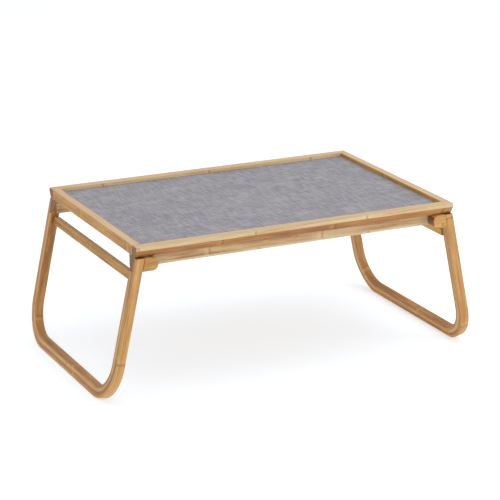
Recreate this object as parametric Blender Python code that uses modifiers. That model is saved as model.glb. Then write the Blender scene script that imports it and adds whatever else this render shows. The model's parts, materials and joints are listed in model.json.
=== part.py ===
"""Folding tray table: a bamboo rim round a linen-look panel, on two fold-under leg frames.

Units are metres, +Z is up, X runs along the tray and the table stands on Z = 0.
"""
import math

import bmesh
import bpy
from mathutils import Matrix, Vector

MM = 0.001

# ---- overall size ---------------------------------------------------------------------
TRAY_LENGTH = 580 * MM  # outside of the rim, left to right
TRAY_DEPTH = 390 * MM  # outside of the rim, front to back
TABLE_HEIGHT = 265 * MM  # floor to the top of the rim

# ---- rim --------------------------------------------------------------------------------
LONG_RAIL_WIDTH = 17 * MM
LONG_RAIL_HEIGHT = 19 * MM
LONG_RAIL_FACE = 6.5 * MM  # upright part of the outer face, above the undercut
UNDERCUT_DEPTH = 5.5 * MM  # how far the outer face falls in before it turns under
UNDERSIDE_OVERLAP = 2.5 * MM  # of the flat underside over the outer half of a leg's top
UNDERCUT_TURN = 2.5 * MM  # height of the lowest, flatter facet
SHORT_RAIL_WIDTH = 14 * MM
SHORT_RAIL_HEIGHT = 17.5 * MM
RIM_ROUNDING = 1.6 * MM

# ---- panel ------------------------------------------------------------------------------
PANEL_RECESS = 6.5 * MM  # from the top of the rim down to the linen face
SHEET_THICKNESS = 0.6 * MM
BOARD_THICKNESS = 4.2 * MM
GROOVE_DEPTH = 5 * MM

# ---- aprons -----------------------------------------------------------------------------
APRON_THICKNESS = 10 * MM
APRON_DROP = 20.5 * MM  # how far it hangs below the long rails
APRON_END_INSET = 1 * MM
APRON_ROUNDING = 0.8 * MM

# ---- leg frames -------------------------------------------------------------------------
LEG_WIDTH = 20 * MM  # along the depth of the tray
LEG_THICKNESS = 14.5 * MM  # along the length of the tray
LEG_SPLAY = math.radians(12)
LEG_BEND_RADIUS = 73 * MM  # outer radius of the two bottom bends
LEG_SIDE_INSET = 0.5 * MM
LEG_END_INSET = 0.5 * MM
LEG_ROUNDING = 1.4 * MM
CROSSBAR_DROP = 29.5 * MM  # along the leg, from the rim to the top of the bar
CROSSBAR_HEIGHT = 13.5 * MM
CROSSBAR_THICKNESS = 11 * MM
CROSSBAR_INSET = 4 * MM  # inboard of the middle of the legs, a little proud of them
CROSSBAR_DOWEL_INSET = 3 * MM
CROSSBAR_ROUNDING = 1 * MM

# ---- pivot blocks -----------------------------------------------------------------------
BLOCK_HEIGHT = 22 * MM
BLOCK_LENGTH = 25 * MM  # from the leg to the round end, at mid height
BLOCK_END_RADIUS = 9.5 * MM
BLOCK_ROUNDING = 1 * MM

# ---- hardware ---------------------------------------------------------------------------
BOLT_RADIUS = 3 * MM
BOLT_LENGTH = 22 * MM
BOLT_HEAD_RADIUS = 5.5 * MM
BOLT_HEAD_HEIGHT = 3.3 * MM
BOLT_KEY_RADIUS = 2.1 * MM  # across the corners of the hexagon
BOLT_KEY_DEPTH = 1.8 * MM
HEAD_WASHER_RADIUS = 7 * MM
HEAD_WASHER_THICKNESS = 1 * MM
SPACER_RADIUS = 8.5 * MM
SPACER_THICKNESS = 1 * MM
INSERT_RADIUS = 4.6 * MM
INSERT_LENGTH = 12 * MM
DOWEL_RADIUS = 3 * MM
CORNER_DOWEL_LENGTH = 16 * MM
CORNER_DOWEL_DROP = 6 * MM  # from the top of the rim to the dowel's axis
CROSSBAR_DOWEL_LENGTH = 24 * MM
SCREW_RADIUS = 1.75 * MM
SCREW_HEAD_RADIUS = 3.6 * MM
LAP_SCREW_LENGTH = 16 * MM
APRON_SCREW_LENGTH = 28 * MM

GAP = 0.3 * MM  # clearance between pieces that touch

# ---- fineness ---------------------------------------------------------------------------
BEND_STEPS = 10
ROUND_STEPS = 20
DOWEL_STEPS = 16

# ---- levels and places worked out from the sizes ---------------------------------------
RIM_UNDERSIDE = TABLE_HEIGHT - LONG_RAIL_HEIGHT
SHORT_UNDERSIDE = TABLE_HEIGHT - SHORT_RAIL_HEIGHT
UNDERCUT_REACH = LEG_SIDE_INSET + LEG_WIDTH / 2 - UNDERSIDE_OVERLAP
HALF_LENGTH = TRAY_LENGTH / 2
HALF_DEPTH = TRAY_DEPTH / 2
INNER_HALF_LENGTH = HALF_LENGTH - SHORT_RAIL_WIDTH
INNER_HALF_DEPTH = HALF_DEPTH - LONG_RAIL_WIDTH

SHEET_TOP = TABLE_HEIGHT - PANEL_RECESS
SHEET_BOTTOM = SHEET_TOP - SHEET_THICKNESS
BOARD_TOP = SHEET_BOTTOM - GAP
BOARD_BOTTOM = BOARD_TOP - BOARD_THICKNESS
GROOVE_TOP = SHEET_TOP + GAP
GROOVE_BOTTOM = BOARD_BOTTOM - GAP

FRAME_HALF_DEPTH = HALF_DEPTH - LEG_SIDE_INSET
LEG_INNER = FRAME_HALF_DEPTH - LEG_WIDTH
LAP_PLANE = FRAME_HALF_DEPTH - LEG_WIDTH / 2
APRON_OUTER = LEG_INNER - SPACER_THICKNESS - 2 * GAP
APRON_INNER = APRON_OUTER - APRON_THICKNESS
APRON_BOTTOM = RIM_UNDERSIDE - APRON_DROP
APRON_HALF_LENGTH = HALF_LENGTH - APRON_END_INSET

LEG_TOP = RIM_UNDERSIDE - GAP
LEG_SLANT = LEG_THICKNESS / math.cos(LEG_SPLAY)  # thickness measured along the floor
LEG_CENTRE = HALF_LENGTH - LEG_END_INSET - LEG_SLANT / 2  # at the rim's underside
LEG_LENGTH = (RIM_UNDERSIDE + LEG_THICKNESS / 2 * math.sin(LEG_SPLAY)) / math.cos(LEG_SPLAY)

BLOCK_BOTTOM = LEG_TOP - BLOCK_HEIGHT
PIVOT_HEIGHT = LEG_TOP - BLOCK_HEIGHT / 2
PIVOT_DROP = RIM_UNDERSIDE - PIVOT_HEIGHT
LEG_CENTRE_AT_PIVOT = LEG_CENTRE + PIVOT_DROP * math.tan(LEG_SPLAY)
BLOCK_END = LEG_CENTRE_AT_PIVOT - LEG_SLANT / 2 - BLOCK_LENGTH
PIVOT_X = BLOCK_END + BLOCK_END_RADIUS

SIDES = (("left", -1), ("right", 1))
ENDS = (("front", -1), ("back", 1))
CORNERS = [(f"{end}_{side}", sx, sy) for side, sx in SIDES for end, sy in ENDS]


# ---- scene ------------------------------------------------------------------------------
def clear_scene():
    for item in list(bpy.data.objects):
        bpy.data.objects.remove(item, do_unlink=True)


def new_collection(name):
    collection = bpy.data.collections.new(name)
    bpy.context.scene.collection.children.link(collection)
    return collection


def srgb(code):
    """A hex colour as the linear numbers that Blender uses."""
    parts = [int(code[i:i + 2], 16) / 255 for i in (0, 2, 4)]
    return tuple(c / 12.92 if c <= 0.04045 else ((c + 0.055) / 1.055) ** 2.4 for c in parts)


def new_material(name, code, roughness, metallic=0.0):
    material = bpy.data.materials.new(name)
    material.use_nodes = True
    shader = material.node_tree.nodes["Principled BSDF"]
    shader.inputs["Base Color"].default_value = (*srgb(code), 1)
    shader.inputs["Roughness"].default_value = roughness
    shader.inputs["Metallic"].default_value = metallic
    return material


clear_scene()
TABLE = new_collection("folding_tray_table")
CUTTERS = new_collection("cutters")

BAMBOO = new_material("bamboo", "D9B583", 0.42)
BENT_BAMBOO = new_material("bent_bamboo", "C79F68", 0.42)
LINEN = new_material("linen_laminate", "A9A7A9", 0.5)
FIBREBOARD = new_material("fibreboard", "9A7B58", 0.8)
BEECH = new_material("beech_dowel", "D3B085", 0.6)
STEEL = new_material("zinc_plated_steel", "C4C6C8", 0.3, 1.0)
BRASS = new_material("brass", "C9A24E", 0.35, 1.0)
NYLON = new_material("nylon", "E9E8E2", 0.45)


# ---- making solids ----------------------------------------------------------------------
def add_object(name, mesh, material):
    thing = bpy.data.objects.new(name, mesh)
    if material is None:
        CUTTERS.objects.link(thing)
        thing.hide_render = True
        thing.display_type = "WIRE"
    else:
        TABLE.objects.link(thing)
        mesh.materials.append(material)
    return thing


def add_box(name, low, high, material=None, matrix=Matrix()):
    """A box between two corners, in the space of the matrix."""
    low, high = Vector(low), Vector(high)
    shape = bmesh.new()
    bmesh.ops.create_cube(shape, size=1)
    bmesh.ops.scale(shape, vec=high - low, verts=shape.verts)
    bmesh.ops.translate(shape, vec=(low + high) / 2, verts=shape.verts)
    mesh = bpy.data.meshes.new(name)
    shape.to_mesh(mesh)
    shape.free()
    mesh.transform(matrix)
    return add_object(name, mesh, material)


def add_plate(name, outline, thickness, matrix, material=None):
    """A flat outline, filled and extruded half its thickness to each side of its plane."""
    curve = bpy.data.curves.new(name, "CURVE")
    curve.dimensions = "2D"
    curve.fill_mode = "BOTH"
    curve.extrude = thickness / 2
    spline = curve.splines.new("POLY")
    spline.points.add(len(outline) - 1)
    for point, (across, up) in zip(spline.points, outline):
        point.co = (across, up, 0, 1)
    spline.use_cyclic_u = True
    holder = bpy.data.objects.new(name + "_outline", curve)
    mesh = bpy.data.meshes.new_from_object(holder)
    bpy.data.objects.remove(holder)
    bpy.data.curves.remove(curve)
    shape = bmesh.new()
    shape.from_mesh(mesh)
    bmesh.ops.remove_doubles(shape, verts=shape.verts, dist=0.01 * MM)
    bmesh.ops.dissolve_limit(shape, angle_limit=math.radians(0.5), verts=shape.verts,
                             edges=shape.edges)
    bmesh.ops.recalc_face_normals(shape, faces=shape.faces)
    shape.to_mesh(mesh)
    shape.free()
    mesh.name = name
    mesh.transform(matrix)
    return add_object(name, mesh, material)


def add_turned(name, profile, matrix, material=None, steps=ROUND_STEPS, ring=False):
    """A profile of (radius, height) points turned about its Z axis by a Screw modifier."""
    mesh = bpy.data.meshes.new(name)
    count = len(profile)
    edges = [(i, i + 1) for i in range(count - 1)]
    if ring:
        edges.append((count - 1, 0))
    mesh.from_pydata([(radius, 0, height) for radius, height in profile], edges, [])
    thing = add_object(name, mesh, material)
    turn = thing.modifiers.new("turn", "SCREW")
    turn.axis = "Z"
    turn.steps = steps
    turn.render_steps = steps
    turn.use_merge_vertices = True
    turn.merge_threshold = 0.01 * MM
    turn.use_smooth_shade = True
    turn.use_normal_flip = True
    thing.matrix_world = matrix
    return thing


def round_edges(thing, width, segments=2):
    bevel = thing.modifiers.new("rounding", "BEVEL")
    bevel.width = width
    bevel.segments = segments
    bevel.limit_method = "ANGLE"
    bevel.angle_limit = math.radians(30)
    bevel.miter_outer = "MITER_ARC"


def cut(thing, cutter):
    """Take the cutter's shape out of the thing."""
    trim = thing.modifiers.new(cutter.name, "BOOLEAN")
    trim.operation = "DIFFERENCE"
    trim.solver = "EXACT"
    trim.object = cutter


def along(axis, place):
    """Turn local Z to the axis, and move the origin to the place."""
    turn = Vector((0, 0, 1)).rotation_difference(Vector(axis)).to_matrix().to_4x4()
    return Matrix.Translation(place) @ turn


def rod_profile(radius, length, edge):
    return [(0, 0), (radius - edge, 0), (radius, edge), (radius, length - edge),
            (radius - edge, length), (0, length)]


def screw_profile(length, extra=0.0):
    """A countersunk wood screw, head face at height 0; extra makes the hole it sits in."""
    head = SCREW_HEAD_RADIUS + extra
    shank = SCREW_RADIUS + extra
    taper = SCREW_HEAD_RADIUS - SCREW_RADIUS
    point = 3 * SCREW_RADIUS
    return [(0, -extra), (head, -extra), (head, 0.3 * MM), (shank, 0.3 * MM + taper),
            (shank, length - point), (0.3 * shank, length + extra), (0, length + extra)]


# ---- spaces -----------------------------------------------------------------------------
ACROSS_TRAY = Matrix(((0, 0, 1, 0), (1, 0, 0, 0), (0, 1, 0, 0), (0, 0, 0, 1)))
ALONG_TRAY = Matrix(((1, 0, 0, 0), (0, 0, -1, 0), (0, 1, 0, 0), (0, 0, 0, 1)))


def leg_space(side):
    """The tilted space of one leg frame: origin at the rim, local Z up along the legs."""
    tilt = Matrix.Rotation(-side * LEG_SPLAY, 4, "Y")
    return Matrix.Translation((side * LEG_CENTRE, 0, RIM_UNDERSIDE)) @ tilt


# ---- rim --------------------------------------------------------------------------------
def corner_dowel_matrix(sx, sy):
    x = sx * (HALF_LENGTH - (SHORT_RAIL_WIDTH - GROOVE_DEPTH) / 2)
    y = sy * (INNER_HALF_DEPTH - CORNER_DOWEL_LENGTH / 2)
    return along((0, sy, 0), (x, y, TABLE_HEIGHT - CORNER_DOWEL_DROP))


def cut_corner_dowels(rail, places):
    for corner, sx, sy in places:
        hole = rod_profile(DOWEL_RADIUS + GAP, CORNER_DOWEL_LENGTH + 2 * GAP, GAP)
        matrix = corner_dowel_matrix(sx, sy) @ Matrix.Translation((0, 0, -GAP))
        cut(rail, add_turned(f"{rail.name}_{corner}_dowel_hole", hole, matrix, steps=DOWEL_STEPS))


def cut_panel_groove(rail):
    """The stopped groove that runs round inside the rim; each rail gets its own cutter."""
    reach_x = INNER_HALF_LENGTH + GROOVE_DEPTH
    reach_y = INNER_HALF_DEPTH + GROOVE_DEPTH
    cut(rail, add_box(rail.name + "_groove", (-reach_x, -reach_y, GROOVE_BOTTOM),
                      (reach_x, reach_y, GROOVE_TOP)))


def make_long_rail(end, sy):
    outer, inner = sy * HALF_DEPTH, sy * INNER_HALF_DEPTH
    outline = [(inner, RIM_UNDERSIDE), (outer - sy * UNDERCUT_REACH, RIM_UNDERSIDE),
               (outer - sy * UNDERCUT_DEPTH, RIM_UNDERSIDE + UNDERCUT_TURN),
               (outer, TABLE_HEIGHT - LONG_RAIL_FACE), (outer, TABLE_HEIGHT),
               (inner, TABLE_HEIGHT)]
    rail = add_plate(f"{end}_rail", outline, TRAY_LENGTH, ACROSS_TRAY, BAMBOO)
    round_edges(rail, RIM_ROUNDING)
    cut_panel_groove(rail)
    cut_corner_dowels(rail, [corner for corner in CORNERS if corner[2] == sy])


def make_short_rail(side, sx):
    outline = [(sx * HALF_LENGTH, SHORT_UNDERSIDE), (sx * HALF_LENGTH, TABLE_HEIGHT),
               (sx * INNER_HALF_LENGTH, TABLE_HEIGHT), (sx * INNER_HALF_LENGTH, SHORT_UNDERSIDE)]
    length = 2 * (INNER_HALF_DEPTH - GAP)
    rail = add_plate(f"{side}_rail", outline, length, ALONG_TRAY, BAMBOO)
    round_edges(rail, RIM_ROUNDING / 2)
    cut_panel_groove(rail)
    places = [corner for corner in CORNERS if corner[1] == sx]
    cut_corner_dowels(rail, places)
    for corner, sx, sy in places:
        cut(rail, apron_screw_hole(f"{side}_rail_{corner}", sx, sy))


def make_corner_dowels():
    for corner, sx, sy in CORNERS:
        add_turned(f"corner_dowel_{corner}", rod_profile(DOWEL_RADIUS, CORNER_DOWEL_LENGTH, 0.5 * MM),
                   corner_dowel_matrix(sx, sy), BEECH, DOWEL_STEPS)


# ---- panel ------------------------------------------------------------------------------
def make_panel():
    x = INNER_HALF_LENGTH + GROOVE_DEPTH - GAP
    y = INNER_HALF_DEPTH + GROOVE_DEPTH - GAP
    add_box("panel_board", (-x, -y, BOARD_BOTTOM), (x, y, BOARD_TOP), FIBREBOARD)
    add_box("linen_top_sheet", (-x, -y, SHEET_BOTTOM), (x, y, SHEET_TOP), LINEN)


# ---- aprons -----------------------------------------------------------------------------
def apron_screw_matrix(sx, sy):
    x = sx * (HALF_LENGTH - (SHORT_RAIL_WIDTH - GROOVE_DEPTH) / 2)
    y = sy * (APRON_OUTER + APRON_INNER) / 2
    return along((0, 0, 1), (x, y, APRON_BOTTOM))


def apron_screw_hole(owner, sx, sy):
    profile = screw_profile(APRON_SCREW_LENGTH, GAP)
    return add_turned(f"{owner}_screw_hole", profile, apron_screw_matrix(sx, sy))


def make_apron(end, sy):
    """A rail under the panel, stepped down at its ends to pass under the short rails."""
    end_top = SHORT_UNDERSIDE - GAP
    middle_top = BOARD_BOTTOM - GAP
    step = INNER_HALF_LENGTH - GAP
    right = [(APRON_HALF_LENGTH, APRON_BOTTOM), (APRON_HALF_LENGTH, end_top),
             (step, end_top), (step, middle_top)]
    left = [(-x, z) for x, z in reversed(right)]
    matrix = Matrix.Translation((0, sy * (APRON_OUTER + APRON_INNER) / 2, 0)) @ ALONG_TRAY
    apron = add_plate(f"{end}_apron", right + left, APRON_THICKNESS, matrix, BAMBOO)
    round_edges(apron, APRON_ROUNDING)
    for corner, sx, corner_sy in CORNERS:
        if corner_sy == sy:
            start = (sx * PIVOT_X, sy * (APRON_INNER - GAP), PIVOT_HEIGHT)
            hole = rod_profile(BOLT_RADIUS + GAP, APRON_THICKNESS + 2 * GAP, 0.1 * GAP)
            cut(apron, add_turned(f"apron_{corner}_bolt_hole", hole, along((0, sy, 0), start)))
            cut(apron, apron_screw_hole(f"apron_{corner}", sx, sy))


def make_apron_screws():
    for corner, sx, sy in CORNERS:
        add_turned(f"apron_screw_{corner}", screw_profile(APRON_SCREW_LENGTH),
                   apron_screw_matrix(sx, sy), STEEL)


# ---- leg frames -------------------------------------------------------------------------
def bend(centre_y, centre_z, radius, start):
    """A quarter turn of outline points, counted in degrees from +Y towards +Z."""
    points = []
    for step in range(BEND_STEPS + 1):
        angle = math.radians(start + 90 * step / BEND_STEPS)
        points.append((centre_y + radius * math.cos(angle), centre_z + radius * math.sin(angle)))
    return points


def make_leg_frame(side, sx):
    """A bent U: two legs and a floor bar in one piece, planed flat where it stands."""
    over = 2 * LEG_THICKNESS  # length above the rim, trimmed off below
    centre_y = FRAME_HALF_DEPTH - LEG_BEND_RADIUS
    centre_z = LEG_BEND_RADIUS - LEG_LENGTH
    inner_radius = LEG_BEND_RADIUS - LEG_WIDTH
    outline = [(-FRAME_HALF_DEPTH, over)]
    outline += bend(-centre_y, centre_z, LEG_BEND_RADIUS, 180)
    outline += bend(centre_y, centre_z, LEG_BEND_RADIUS, 270)
    outline += [(FRAME_HALF_DEPTH, over), (LEG_INNER, over)]
    outline += reversed(bend(centre_y, centre_z, inner_radius, 270))
    outline += reversed(bend(-centre_y, centre_z, inner_radius, 180))
    outline += [(-LEG_INNER, over)]
    frame = add_plate(f"{side}_leg_frame", outline, LEG_THICKNESS,
                      leg_space(sx) @ ACROSS_TRAY, BENT_BAMBOO)
    round_edges(frame, LEG_ROUNDING)
    reach = TRAY_LENGTH
    cut(frame, add_box(f"{side}_leg_top_trim", (-reach, -reach, LEG_TOP), (reach, reach, reach)))
    cut(frame, add_box(f"{side}_leg_floor_trim", (-reach, -reach, -reach), (reach, reach, 0)))
    for end, sy in ENDS:
        xs = sorted((sx * (LEG_CENTRE - 2 * LEG_THICKNESS), sx * (LEG_CENTRE + 2 * LEG_THICKNESS)))
        ys = sorted((sy * (LEG_INNER - LEG_WIDTH), sy * (LAP_PLANE + GAP / 2)))
        low = (xs[0], ys[0], BLOCK_BOTTOM - GAP)
        cut(frame, add_box(f"{side}_{end}_leg_lap", low, (xs[1], ys[1], reach)))
        cut(frame, crossbar_dowel_hole(f"{side}_{end}_leg", sx, sy))
        cut(frame, lap_screw_hole(f"{side}_{end}_leg", sx, sy))
    return frame


def make_crossbar(side, sx):
    half = LEG_INNER - GAP
    middle = -sx * CROSSBAR_INSET
    low = (middle - CROSSBAR_THICKNESS / 2, -half, -CROSSBAR_DROP - CROSSBAR_HEIGHT)
    high = (middle + CROSSBAR_THICKNESS / 2, half, -CROSSBAR_DROP)
    bar = add_box(f"{side}_crossbar", low, high, BAMBOO, leg_space(sx))
    round_edges(bar, CROSSBAR_ROUNDING)
    for end, sy in ENDS:
        cut(bar, crossbar_dowel_hole(f"{side}_{end}_crossbar", sx, sy))
    return bar


def crossbar_dowel_matrix(sx, sy):
    start = (-sx * CROSSBAR_DOWEL_INSET, sy * (LEG_INNER - CROSSBAR_DOWEL_LENGTH / 2),
             -CROSSBAR_DROP - CROSSBAR_HEIGHT / 2)
    return leg_space(sx) @ along((0, sy, 0), start)


def crossbar_dowel_hole(owner, sx, sy):
    profile = rod_profile(DOWEL_RADIUS + GAP, CROSSBAR_DOWEL_LENGTH + 2 * GAP, GAP)
    matrix = crossbar_dowel_matrix(sx, sy) @ Matrix.Translation((0, 0, -GAP))
    return add_turned(f"{owner}_dowel_hole", profile, matrix, steps=DOWEL_STEPS)


# ---- pivot blocks -----------------------------------------------------------------------
def leg_face_x(height, face):
    """Distance from the middle of the tray to a face of the leg: -1 inboard, +1 outboard."""
    drop = RIM_UNDERSIDE - height
    return LEG_CENTRE + drop * math.tan(LEG_SPLAY) + face * LEG_SLANT / 2


def make_block(corner, sx, sy):
    """The arm from the leg to the pivot, half-lapped with the leg and round at its end."""
    centre_x = BLOCK_END + BLOCK_END_RADIUS
    outline = [(leg_face_x(BLOCK_BOTTOM, 1), BLOCK_BOTTOM), (leg_face_x(LEG_TOP, 1), LEG_TOP)]
    outline += bend(centre_x, LEG_TOP - BLOCK_END_RADIUS, BLOCK_END_RADIUS, 90)
    outline += bend(centre_x, BLOCK_BOTTOM + BLOCK_END_RADIUS, BLOCK_END_RADIUS, 180)
    outline = [(sx * x, z) for x, z in outline]
    middle = sy * (FRAME_HALF_DEPTH + LEG_INNER) / 2
    matrix = Matrix.Translation((0, middle, 0)) @ ALONG_TRAY
    block = add_plate(f"pivot_block_{corner}", outline, LEG_WIDTH, matrix, BAMBOO)
    round_edges(block, BLOCK_ROUNDING)
    inboard = LEG_THICKNESS / 2 + GAP
    xs = sorted((-sx * inboard, sx * LEG_THICKNESS * 2))
    ys = sorted((sy * (LAP_PLANE - GAP / 2), sy * HALF_DEPTH * 2))
    low, high = (xs[0], ys[0], -3 * BLOCK_HEIGHT), (xs[1], ys[1], BLOCK_HEIGHT)
    cut(block, add_box(f"block_{corner}_lap", low, high, None, leg_space(sx)))
    start = (sx * PIVOT_X, sy * (LEG_INNER - GAP), PIVOT_HEIGHT)
    pocket = rod_profile(INSERT_RADIUS + GAP, INSERT_LENGTH + 3 * GAP, 0.1 * GAP)
    cut(block, add_turned(f"block_{corner}_insert_hole", pocket, along((0, sy, 0), start)))
    cut(block, lap_screw_hole(f"block_{corner}", sx, sy))
    return block


def lap_screw_matrix(sx, sy):
    start = (sx * LEG_CENTRE_AT_PIVOT, sy * LEG_INNER, PIVOT_HEIGHT)
    return along((0, sy, 0), start)


def lap_screw_hole(owner, sx, sy):
    profile = screw_profile(LAP_SCREW_LENGTH, GAP)
    return add_turned(f"{owner}_lap_screw_hole", profile, lap_screw_matrix(sx, sy))


# ---- pivot hardware ---------------------------------------------------------------------
def washer_profile(outer, thickness):
    inner = BOLT_RADIUS + GAP
    edge = 0.15 * thickness
    return [(inner, 0), (outer - edge, 0), (outer, edge), (outer, thickness - edge),
            (outer - edge, thickness), (inner, thickness)]


def make_bolt(corner, sx, sy):
    """A button-head bolt from inside the apron into the insert in the block."""
    dome = BOLT_HEAD_RADIUS * 0.62
    profile = [(0, -BOLT_HEAD_HEIGHT), (dome, -BOLT_HEAD_HEIGHT),
               (BOLT_HEAD_RADIUS * 0.88, -BOLT_HEAD_HEIGHT * 0.68),
               (BOLT_HEAD_RADIUS, -BOLT_HEAD_HEIGHT * 0.25), (BOLT_HEAD_RADIUS, 0),
               (BOLT_RADIUS, 0), (BOLT_RADIUS, BOLT_LENGTH - 0.6 * MM),
               (BOLT_RADIUS - 0.6 * MM, BOLT_LENGTH), (0, BOLT_LENGTH)]
    under_head = APRON_INNER - HEAD_WASHER_THICKNESS - 2 * GAP
    matrix = along((0, sy, 0), (sx * PIVOT_X, sy * under_head, PIVOT_HEIGHT))
    bolt = add_turned(f"pivot_bolt_{corner}", profile, matrix, STEEL)
    key = [(0, 0), (BOLT_KEY_RADIUS, 0), (BOLT_KEY_RADIUS, 2 * BOLT_KEY_DEPTH),
           (0, 2 * BOLT_KEY_DEPTH)]
    key_start = Matrix.Translation((0, 0, -BOLT_HEAD_HEIGHT - BOLT_KEY_DEPTH))
    cut(bolt, add_turned(f"bolt_{corner}_key", key, matrix @ key_start, steps=6))
    return bolt


def make_insert(corner, sx, sy):
    inner = BOLT_RADIUS + GAP
    edge = 0.5 * MM
    profile = [(inner, 0), (INSERT_RADIUS, 0), (INSERT_RADIUS, INSERT_LENGTH - edge),
               (INSERT_RADIUS - edge, INSERT_LENGTH), (inner, INSERT_LENGTH)]
    matrix = along((0, sy, 0), (sx * PIVOT_X, sy * (LEG_INNER + GAP), PIVOT_HEIGHT))
    return add_turned(f"pivot_insert_{corner}", profile, matrix, BRASS, ring=True)


def make_washers(corner, sx, sy):
    spacer = along((0, sy, 0), (sx * PIVOT_X, sy * (APRON_OUTER + GAP), PIVOT_HEIGHT))
    add_turned(f"spacer_washer_{corner}", washer_profile(SPACER_RADIUS, SPACER_THICKNESS),
               spacer, NYLON, ring=True)
    start = APRON_INNER - GAP - HEAD_WASHER_THICKNESS
    plain = along((0, sy, 0), (sx * PIVOT_X, sy * start, PIVOT_HEIGHT))
    add_turned(f"head_washer_{corner}", washer_profile(HEAD_WASHER_RADIUS, HEAD_WASHER_THICKNESS),
               plain, STEEL, ring=True)


# ---- assembly ---------------------------------------------------------------------------
def hang_on(axis, pieces):
    """Parent the pieces to the fold axis, keeping them where they are."""
    for piece in pieces:
        place = piece.matrix_basis.copy()
        piece.parent = axis
        piece.matrix_basis = Matrix.Translation(-axis.location) @ place


def make_leg_assembly(side, sx):
    """Everything that folds with one leg frame, on an empty at its pivot line."""
    axis = bpy.data.objects.new(f"{side}_fold_axis", None)
    axis.location = (sx * PIVOT_X, 0, PIVOT_HEIGHT)
    axis.empty_display_size = BLOCK_LENGTH
    TABLE.objects.link(axis)
    pieces = [make_leg_frame(side, sx), make_crossbar(side, sx)]
    for corner, corner_sx, sy in CORNERS:
        if corner_sx != sx:
            continue
        dowel = rod_profile(DOWEL_RADIUS, CROSSBAR_DOWEL_LENGTH, 0.5 * MM)
        pieces.append(add_turned(f"crossbar_dowel_{corner}", dowel, crossbar_dowel_matrix(sx, sy),
                                 BEECH, DOWEL_STEPS))
        pieces.append(make_block(corner, sx, sy))
        pieces.append(add_turned(f"lap_screw_{corner}", screw_profile(LAP_SCREW_LENGTH),
                                 lap_screw_matrix(sx, sy), STEEL))
        pieces.append(make_bolt(corner, sx, sy))
        pieces.append(make_insert(corner, sx, sy))
    hang_on(axis, pieces)


for END, SY in ENDS:
    make_long_rail(END, SY)
    make_apron(END, SY)
for SIDE, SX in SIDES:
    make_short_rail(SIDE, SX)
    make_leg_assembly(SIDE, SX)
make_corner_dowels()
make_panel()
make_apron_screws()
for CORNER, SX, SY in CORNERS:
    make_washers(CORNER, SX, SY)
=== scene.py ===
# %% [markdown]
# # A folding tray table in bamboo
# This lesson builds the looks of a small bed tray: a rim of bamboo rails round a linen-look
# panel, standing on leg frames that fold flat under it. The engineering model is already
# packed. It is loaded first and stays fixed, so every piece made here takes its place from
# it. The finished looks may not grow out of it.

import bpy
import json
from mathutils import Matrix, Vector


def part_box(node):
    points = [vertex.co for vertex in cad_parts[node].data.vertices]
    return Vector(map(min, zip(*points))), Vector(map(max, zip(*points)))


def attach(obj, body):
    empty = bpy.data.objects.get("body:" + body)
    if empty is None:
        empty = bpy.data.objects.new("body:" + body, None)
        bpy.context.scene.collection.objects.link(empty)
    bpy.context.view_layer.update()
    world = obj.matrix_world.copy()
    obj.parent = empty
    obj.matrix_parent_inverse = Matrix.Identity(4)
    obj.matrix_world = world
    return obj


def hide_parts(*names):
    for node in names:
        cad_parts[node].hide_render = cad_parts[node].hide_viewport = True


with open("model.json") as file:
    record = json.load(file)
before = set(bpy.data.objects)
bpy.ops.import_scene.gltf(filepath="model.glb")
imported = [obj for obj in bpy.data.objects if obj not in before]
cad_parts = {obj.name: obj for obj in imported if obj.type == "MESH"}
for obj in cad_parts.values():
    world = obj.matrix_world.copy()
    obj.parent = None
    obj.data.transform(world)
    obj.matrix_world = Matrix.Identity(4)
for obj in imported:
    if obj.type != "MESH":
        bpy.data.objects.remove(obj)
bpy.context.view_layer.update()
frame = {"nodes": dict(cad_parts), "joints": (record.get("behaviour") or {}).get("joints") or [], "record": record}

# %% [markdown]
# ## Units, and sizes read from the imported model
# Blender counts in metres, a workshop in millimetres, so one value turns one into the other.
# The rails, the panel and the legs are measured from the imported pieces. Only what a box can't
# tell, such as a bend's radius, a lean or a rounding, is written here as a size.

# %% Sizes
import json
import math

import bmesh
import bpy
from mathutils import Matrix, Vector

MM = 0.001
GAP = 0.3 * MM  # the joint between two pieces that touch
SIDES = (("left", -1), ("right", 1))
ENDS = (("front", -1), ("back", 1))
CORNERS = [(f"{end}_{side}", sx, sy) for side, sx in SIDES for end, sy in ENDS]

rim_low, rim_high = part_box("back_rail")
TOP, HALF_LENGTH, HALF_DEPTH = rim_high.z, rim_high.x, rim_high.y
INNER_HALF_DEPTH, RIM_UNDERSIDE = rim_low.y, rim_low.z
side_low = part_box("right_rail")[0]
INNER_HALF_LENGTH, SIDE_UNDERSIDE = side_low.x, side_low.z
board_low, board_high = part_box("panel_board")
sheet_low, sheet_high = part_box("linen_top_sheet")
CLEARANCE = Vector((GAP, GAP, GAP))
GROOVE_LOW = board_low - CLEARANCE
GROOVE_HIGH = Vector((board_high.x, board_high.y, sheet_high.z)) + CLEARANCE
print("tray in mm:", round(2 * HALF_LENGTH / MM), "x", round(2 * HALF_DEPTH / MM),
      "and", round(TOP / MM), "high")

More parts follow.
